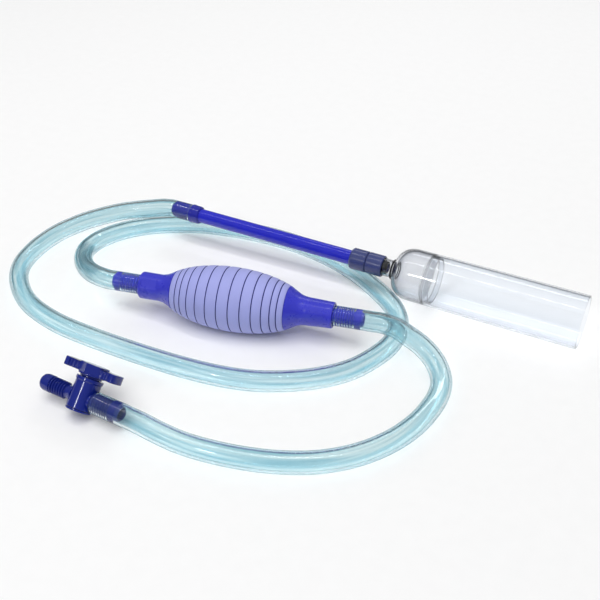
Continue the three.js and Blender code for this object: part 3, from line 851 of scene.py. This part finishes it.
def free_barb():
    """The drain's outlet: a neck, fine ribs, a groove and a round nose."""
    return lathe(valve_place, rounded([
        (-7.6, 3.6), (-7.6, 6.6), (-9.6, 6), (-11, 5.2), (-13.2, 4.9), (-13.8, 5.5),
        *ribs(-14.2, -26, 5, 4.3, 6.35, 0.35),
        (-26.3, 6.2), (-27.2, 6.25), (-27.5, 5.2), (-28, 5.2), (-28.4, 6.45), (-33.4, 6.5),
        (-36, 5.8), (-37.3, 4.7), (-37.3, 3.6),
    ], 0.15))


def hose_barb():
    return lathe(valve_place, rounded([
        (7.6, 3.6), (7.6, 6.2), (10.4, 5.6), (11.4, 5.4),
        *ribs(12, 27, 7, 5, 6.85),
        (27.4, 6.4), (33.6, 6.5), (36, 5.4), (36, 4.5), (33, 4.2), (31, 3.6),
    ], 0.2))


def valve_bonnet():
    return lathe(stem_place, rounded([
        (10.6, 3.9), (10.6, 6.3), (15.1, 6.3), (15.1, 8.2), (16.2, 8.2), (16.2, 3.9),
    ], 0.25))


def valve_base():
    return lathe(stem_place, rounded([
        (-10.1, 1), (-10.1, 9.2), (-9.7, 9.6), (-8.6, 9.6), (-8.6, 1),
    ], 0.3, closed=False), closed=False)


def wing_outline():
    """Both wings: wider towards the tips, with scallops along their sides."""
    half_length = 23.8
    tip_start = 20.8
    waist = 10
    root_half_width = 5.4
    flare = 1.6
    scallops = 3
    scallop = 2.7
    scallop_depth = 1.3
    steps = 160
    side = []
    for k in range(steps):
        along = half_length * math.cos(math.pi * k / steps)
        reach = abs(along)
        width = root_half_width + flare * max(0.0, reach - waist) / (tip_start - waist)
        if waist < reach < waist + scallops * scallop:
            crest = abs(math.sin(math.pi * (reach - waist) / scallop))
            width -= scallop_depth * (1 - crest)
        if reach > tip_start:
            past = (reach - tip_start) / (half_length - tip_start)
            width = (root_half_width + flare) * math.sqrt(max(0.0, 1 - past ** 2))
        side.append((width, along))
    other = [(-width, -along) for width, along in side]
    return [*side, *other][::-1]


def boss_outline():
    """A hexagon with rounded corners, two of which point away from the wings."""
    radius = 11
    corner = 0.9
    centre = radius - corner / math.cos(math.pi / 6)
    result = []
    for k in range(6):
        middle = math.tau * k / 6
        for step in range(-3, 4):
            turn = middle + math.pi / 6 * step / 3
            result.append((centre * math.cos(middle) + corner * math.cos(turn),
                           centre * math.sin(middle) + corner * math.sin(turn)))
    return result


def valve_knob():
    skirt = lathe(stem_place, rounded([
        (16.5, 3.9), (16.5, 10), (17.7, 10), (17.7, 3.9),
    ], 0.3))
    wings = slab(stem_place, wing_outline(), 17.6, 24, 0.5)
    boss = slab(stem_place, boss_outline(), 17.5, 24.9, 0.5)
    return merged(skirt, wings, boss)


piece("valve_body_shell", merged(valve_barrel(), free_barb(), hose_barb()), "siphon",
      "valve_blue_plastic", valve_blue, "valve_body")
piece("valve_bonnet_ring", valve_bonnet(), "siphon", "valve_blue_plastic", valve_blue,
      "valve_bonnet")
piece("valve_base_disc", valve_base(), "siphon", "valve_blue_plastic", valve_blue,
      "valve_base_cap")
piece("valve_wing_knob", valve_knob(), "valve_spindle", "valve_blue_plastic", valve_blue,
      "valve_knob")


# ---- CAD nodes that stay as they are ---------------------------------------------------------

kept = {
    "valve_stem_o_ring": black_rubber,
    "inlet_check_disc": white_plastic,
    "inlet_valve_cage": white_plastic,
    "outlet_check_disc": white_plastic,
    "outlet_valve_seat": white_plastic,
    "valve_plug": valve_blue,
}
for node, material in kept.items():
    mesh = frame["nodes"][node].data
    mesh.materials.clear()
    mesh.materials.append(material)


# ---- Floor and light -------------------------------------------------------------------------

def add_floor():
    half = 4.0
    corners = [(-half, -half), (half, -half), (half, half), (-half, half)]
    mesh = bpy.data.meshes.new("floor")
    mesh.from_pydata([(x, y, -0.0003) for x, y in corners], [], [(0, 1, 2, 3)])
    nodes = Nodes("pale floor")
    grain = nodes.noise(90, 4)
    nodes.set(
        Base_Color=nodes.blend(grain, (0.9, 0.9, 0.9, 1), (0.93, 0.93, 0.93, 1)),
        Roughness=nodes.spread(grain, 0.75, 0.9),
        Specular_IOR_Level=0.1,
    )
    mesh.materials.append(nodes.material)
    floor = bpy.data.objects.new("floor", mesh)
    scene.collection.objects.link(floor)


def add_light(name, kind, place, target, power):
    data = bpy.data.lights.new(name, kind)
    data.energy = power
    light = bpy.data.objects.new(name, data)
    light.location = place
    light.rotation_euler = look_from(Vector(place), Vector(target))
    scene.collection.objects.link(light)
    return light


def add_softbox(name, place, target, width, height, power):
    light = add_light(name, "AREA", place, target, power)
    light.data.shape = "RECTANGLE"
    light.data.size = width
    light.data.size_y = height


def add_overhead(strength, width, azimuth, elevation):
    """An even light over the whole floor, as from a large softbox far above the camera."""
    place = direction(azimuth, elevation) * 2
    light = add_light("overhead light", "SUN", place, (0, 0, 0), strength)
    light.data.angle = width
    light.visible_glossy = False
    light.visible_transmission = False


def add_sky():
    """A white studio that is bright overhead and darker towards the horizon."""
    world = bpy.data.worlds.new("studio")
    world.use_nodes = True
    scene.world = world
    tree = world.node_tree
    place = tree.nodes.new("ShaderNodeTexCoord")
    split = tree.nodes.new("ShaderNodeSeparateXYZ")
    tree.links.new(place.outputs["Generated"], split.inputs[0])
    ramp = tree.nodes.new("ShaderNodeValToRGB")
    tree.links.new(split.outputs["Z"], ramp.inputs[0])
    horizon, overhead = ramp.color_ramp.elements
    horizon.position = 0.05
    horizon.color = (0.3, 0.31, 0.33, 1)
    overhead.position = 0.6
    overhead.color = (1, 1, 1, 1)
    background = tree.nodes["Background"]
    tree.links.new(ramp.outputs[0], background.inputs["Color"])
    background.inputs["Strength"].default_value = 0.35


add_floor()
add_sky()
add_overhead(1.8, 0.85, azimuth=math.radians(15), elevation=math.radians(67))
add_softbox("front lamp", (-0.32, -1.2, 0.86), (-0.04, 0, 0), 0.1, 0.12, 1.7)
add_softbox("ceiling strip", (-0.4, 0.0, 1.5), (-0.4, 0, 0), 1.8, 0.035, 3.6)
add_softbox("back strip", (-0.1, 1.1, 1.0), (-0.1, 0, 0), 0.9, 0.1, 1.6)
scene.view_settings.view_transform = "Standard"
